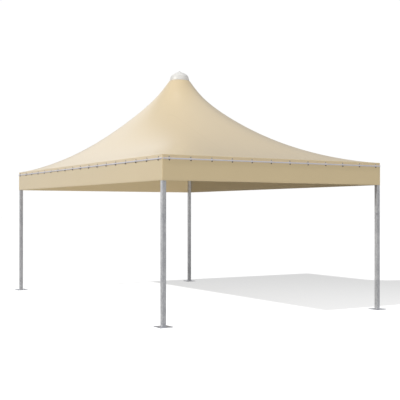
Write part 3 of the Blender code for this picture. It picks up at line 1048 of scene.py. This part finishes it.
def makeTurnbuckle():
    plan = stayPlan
    crest, root = plan["threadRadii"]
    start, end = plan["threadSpan"]
    pitch = plan["threadPitch"]
    thread = [(crest, start)]
    for i in range(plan["threadTurns"]):
        valley = plan["threadStart"] + pitch * i
        thread += [(root, valley), (crest, valley + pitch / 2)]
    screw = lengthwise(thread + [(crest, end)], plan["threadSides"])
    nut = lengthwise(plan["lockNut"], 6)
    barrel = lengthwise(plan["barrel"], plan["barrelSides"])
    return joinedPieces([makeJaw(), screw, nut, barrel])


def makeStay(length):
    plan = stayPlan
    end = length - plan["swageLength"]
    hidden = plan["ropeHidden"]
    sleeve = lengthwise(plan["sleeve"], plan["fittingSides"])
    swage = lengthwise([(radius, end + along) for radius, along in plan["swage"]],
                       plan["fittingSides"])
    rope = makeRope(plan["sleeveEnd"] - hidden, end + hidden)
    return joinedPieces([makeJaw(), sleeve, rope, swage])


def placedAlong(start, end):
    axis = (end - start).normalized()
    across = Vector((0, 0, 1)).cross(axis).normalized()
    turn = Matrix((axis, across, axis.cross(across))).transposed().to_4x4()
    return Matrix.Translation(start) @ turn


def stayEnds(signX, signY):
    # Pins at the mast's foot and at the lug under one corner
    plan = stayPlan
    cornerX, cornerY = plan["postCorner"]
    corner = Vector((signX * cornerX, signY * cornerY, 0))
    foot = corner.normalized() * plan["footPin"]
    foot.z = plan["footLevel"]
    lug = corner * (1 - plan["lugInset"] / corner.length)
    lug.z = plan["lugLevel"]
    return foot, lug


def makeStays():
    plan = stayPlan
    foot, lug = stayEnds(-1, -1)
    turnbuckle = makeTurnbuckle()
    stay = makeStay((lug - foot).length - plan["turnbuckle"] - plan["play"])
    smooth(turnbuckle, plan["crease"])
    smooth(stay, plan["crease"])
    for corner, signX, signY in (("front_left", -1, -1), ("front_right", 1, -1),
                                 ("back_left", -1, 1), ("back_right", 1, 1)):
        foot, lug = stayEnds(signX, signY)
        suffix = corner.title().replace("_", "")
        for model, name, place, node in (
            (turnbuckle, "turnbuckle", placedAlong(lug, foot), "turnbuckle_"),
            (stay, "stayCable", placedAlong(foot, lug), "stay_cable_"),
        ):
            piece = settle(copyAt(model, place), name + suffix, steel["stayMetal"])
            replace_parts(piece, node + corner)
    for model in (turnbuckle, stay):
        bpy.data.objects.remove(model, do_unlink=True)


makeStays()
print("stays made")

# Mast tube, and the fillet welds that hold the posts on their base plates

mastPlan = {
    "tube": [(0.0292, 2.1583), (0.0300, 2.1591), (0.0300, 3.8921), (0.0292, 3.8929)],
    "wall": 0.003,
    "sides": 48,
    "crease": 40,
}
weldPlan = {
    "fillet": [(0.0352, 0.0083), (0.0346, 0.0098), (0.0328, 0.0120), (0.0306, 0.0138)],
    "corner": (0.004, 60),
    "crease": 50,
    "posts": (2.9667, 1.9667),
}


def makeMast():
    mast = ringStack(mastPlan["tube"], mastPlan["sides"], (False, False))
    applyModifier(mast, "SOLIDIFY", thickness=mastPlan["wall"], offset=-1)
    smooth(mast, mastPlan["crease"])
    return settle(mast, "mastTube", steel["plateZinc"])


def makeWelds():
    # A ring of four points, turned so that its sides lie along the post's
    diagonal = math.sqrt(2)
    weld = ringStack([(half * diagonal, height) for half, height in weldPlan["fillet"]], 4)
    weld.data.transform(Matrix.Rotation(math.pi / 4, 4, "Z"))
    softenEdges(weld, *weldPlan["corner"])
    postX, postY = weldPlan["posts"]
    welds = copiesAt(weld, [Matrix.Translation((x * postX, y * postY, 0))
                            for x in (-1, 1) for y in (-1, 1)])
    smooth(welds, weldPlan["crease"])
    return settle(welds, "postWelds", steel["weldZinc"])


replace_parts(makeMast(), "mast")
makeWelds()
print("mast and welds made")

# Steel parts that are carried over from the frame get their finish

carriedOver = {
    "post_": "postZinc",
    "eave_beam_": "beamZinc",
    "base_plate_": "plateZinc",
    "corner_bracket_": "plateZinc",
    "mast_foot": "plateZinc",
    "crown_ring": "plateZinc",
}
for node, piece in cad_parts.items():
    for stem, finish in carriedOver.items():
        if node.startswith(stem):
            for place in piece.material_slots:
                place.material = steel[finish]
print("frame finished")

# Floor: white to the camera, with a painted glow that grows from the tent's far side to its near
# corner and pales the cast shadow there

floorPlan = {
    "size": 240,
    "drop": 0.0006,
    "tone": 0.10,
    "toneSeen": 0.12,
    "roughness": 0.9,
    "glow": 0.622,
    "fade": 0.30,
    "fadeDirection": (0.866, -0.5, 0),
    "fadeSpan": (-6, 6),
}


def makeFloor():
    plan = floorPlan
    deselect()
    bpy.ops.mesh.primitive_plane_add(size=plan["size"], location=(0, 0, -plan["drop"]))
    floor = bpy.context.object
    floor.name = "floor"
    graph = Graph(bpy.data.materials.new("paleFloor"))
    seen = graph.seenByCamera()
    shown = graph.mixed(seen, (plan["tone"],) * 3, (plan["toneSeen"],) * 3)
    graph.finish(colour=shown, roughness=plan["roughness"], specular=0.0)
    graph.feed(graph.shader.inputs["Emission Color"], (1, 1, 1))
    across = graph.reaching(graph.place(), plan["fadeDirection"])
    # Painted glow: brighter towards the near corner, so the cast shadow is paler there
    glow = across.band(*plan["fadeSpan"]) * plan["fade"] + plan["glow"]
    graph.feed(graph.shader.inputs["Emission Strength"], seen * glow)
    floor.data.materials.append(graph.owner)
    return floor


floor = makeFloor()
print("floor made")

# Light: softboxes in the sky, a sun as the key, and a low fill from the right

lightPlan = {
    "ambient": 0.12,
    "softboxes": [  # direction from +X, height, half angle of the core and of the edge, strength
        (0, 90, 8, 62, 0.60),
        (166, 27, 7, 17, 0.93),
        (170, 79, 4, 9, 0.9),
        (222, 7, 10, 62, 0.58),
        (210, 3, 5, 16, 0.35),
        (115, 25, 15, 45, 0.34),
    ],
    "backdrop": 1.02,
    "key": 1.6,
    "keyTint": (1.0, 0.985, 0.935),
    "keyHeight": 32.4,
    "keyTurn": 5.6,
    "keySpread": 2.5,
    "floorKey": 15.5,
    "floorKeySpread": 1.0,
    "side": 1.2,
    "sideHeight": 13,
    "sideSpread": 30,
}


def makeSky():
    world = bpy.data.worlds.new("studio")
    scene.world = world
    graph = Graph(world, "Background")
    direction = graph.node("ShaderNodeTexCoord", {}, {}, "Generated")
    brightness = lightPlan["ambient"]
    for *angles, strength in lightPlan["softboxes"]:
        turn, height, core, edge = (math.radians(angle) for angle in angles)
        centre = (math.cos(turn) * math.cos(height), math.sin(turn) * math.cos(height),
                  math.sin(height))
        glow = graph.reaching(direction, centre).band(math.cos(edge), math.cos(core))
        brightness = glow * strength + brightness
    seen = graph.seenByCamera()
    graph.feed(graph.shader.inputs["Color"], (1, 1, 1))
    graph.feed(graph.shader.inputs["Strength"],
               brightness * (1 - seen) + seen * lightPlan["backdrop"])


def addSun(name, turns, strength, spread):
    bpy.ops.object.light_add(type="SUN", rotation=[math.radians(turn) for turn in turns])
    sun = bpy.context.object
    sun.name = name
    sun.data.energy = strength
    sun.data.angle = math.radians(spread)
    return sun


makeSky()
keyTurns = (90 - lightPlan["keyHeight"], 0, lightPlan["keyTurn"])
key = addSun("keyLight", keyTurns, lightPlan["key"], lightPlan["keySpread"])
key.data.color = lightPlan["keyTint"]

# A second key that only the floor takes, which gives the shadow its depth
floorKey = addSun("floorKey", keyTurns, lightPlan["floorKey"], lightPlan["floorKeySpread"])
litFloor = bpy.data.collections.new("litFloor")
litFloor.objects.link(floor)
floorKey.light_linking.receiver_collection = litFloor

side = addSun("sideFill", (0, 90 - lightPlan["sideHeight"], 0), lightPlan["side"],
              lightPlan["sideSpread"])
side.data.use_shadow = False
side.visible_glossy = False
print("lights made")
